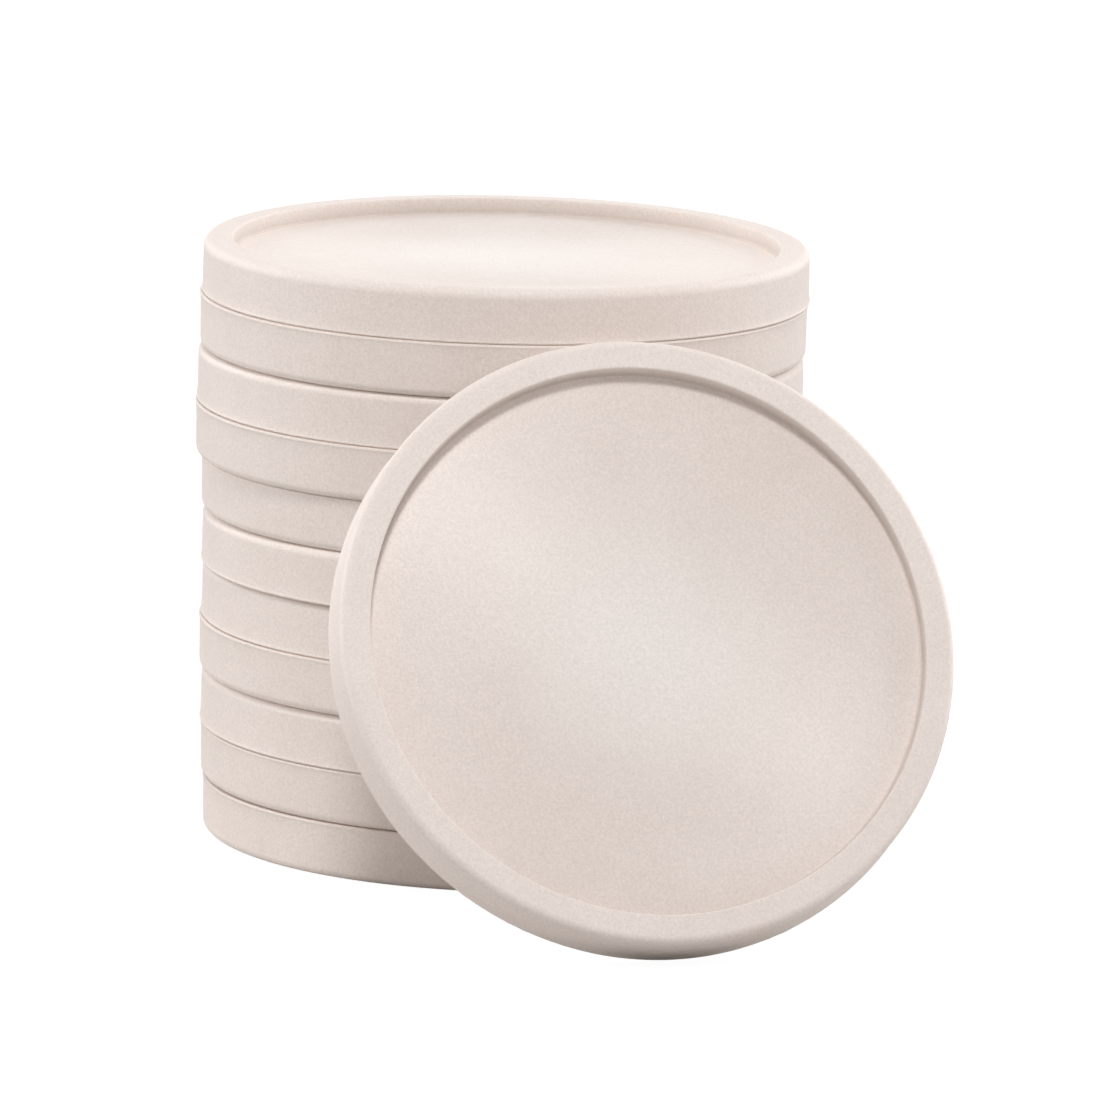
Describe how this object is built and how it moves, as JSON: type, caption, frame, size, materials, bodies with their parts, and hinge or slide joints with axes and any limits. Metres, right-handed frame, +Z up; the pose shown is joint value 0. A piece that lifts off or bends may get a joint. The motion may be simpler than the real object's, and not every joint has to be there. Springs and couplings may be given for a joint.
{
  "type": "plastic game counters",
  "caption": "Stack of round plastic game counters with raised rims and shallow recessed faces, with a loose counter leaning against its front.",
  "frame": {"origin": "middle of the underside of the lowest counter, on the surface that the stack stands on", "axes": "+Z up along the stack, +X to the right and -Y towards the viewer, with the leaning counter in front of the stack and a little to its right"},
  "size_m": [0.0469, 0.0587, 0.0374],
  "materials": {
    "counter_plastic": "satin with a fine moulded grain"
  },
  "bodies": {
    "stack_counter_01": {"stack_counter_01": "counter_plastic"},
    "stack_counter_02": {"stack_counter_02": "counter_plastic"},
    "stack_counter_03": {"stack_counter_03": "counter_plastic"},
    "stack_counter_04": {"stack_counter_04": "counter_plastic"},
    "stack_counter_05": {"stack_counter_05": "counter_plastic"},
    "stack_counter_06": {"stack_counter_06": "counter_plastic"},
    "stack_counter_07": {"stack_counter_07": "counter_plastic"},
    "stack_counter_08": {"stack_counter_08": "counter_plastic"},
    "stack_counter_09": {"stack_counter_09": "counter_plastic"},
    "stack_counter_10": {"stack_counter_10": "counter_plastic"},
    "stack_counter_11": {"stack_counter_11": "counter_plastic"},
    "leaning_counter": {"leaning_counter": "counter_plastic"}
  },
  "joints": [
    {"name": "lift_02", "type": "slide", "parent": "stack_counter_01", "child": "stack_counter_02", "axis": [0, 0, 1], "range_m": [0, 0.01]},
    {"name": "lift_03", "type": "slide", "parent": "stack_counter_02", "child": "stack_counter_03", "axis": [0, 0, 1], "range_m": [0, 0.01]},
    {"name": "lift_04", "type": "slide", "parent": "stack_counter_03", "child": "stack_counter_04", "axis": [0, 0, 1], "range_m": [0, 0.01]},
    {"name": "lift_05", "type": "slide", "parent": "stack_counter_04", "child": "stack_counter_05", "axis": [0, 0, 1], "range_m": [0, 0.01]},
    {"name": "lift_06", "type": "slide", "parent": "stack_counter_05", "child": "stack_counter_06", "axis": [0, 0, 1], "range_m": [0, 0.01]},
    {"name": "lift_07", "type": "slide", "parent": "stack_counter_06", "child": "stack_counter_07", "axis": [0, 0, 1], "range_m": [0, 0.01]},
    {"name": "lift_08", "type": "slide", "parent": "stack_counter_07", "child": "stack_counter_08", "axis": [0, 0, 1], "range_m": [0, 0.01]},
    {"name": "lift_09", "type": "slide", "parent": "stack_counter_08", "child": "stack_counter_09", "axis": [0, 0, 1], "range_m": [0, 0.01]},
    {"name": "lift_10", "type": "slide", "parent": "stack_counter_09", "child": "stack_counter_10", "axis": [0, 0, 1], "range_m": [0, 0.01]},
    {"name": "lift_11", "type": "slide", "parent": "stack_counter_10", "child": "stack_counter_11", "axis": [0, 0, 1], "range_m": [0, 0.01]},
    {"name": "lean_tip", "type": "hinge", "parent": "stack_counter_01", "child": "leaning_counter", "pos_m": [0.00991, -0.03579, 0.00015], "axis": [0.9715, 0.2368, 0], "range_deg": [0, 28.3]}
  ]
}
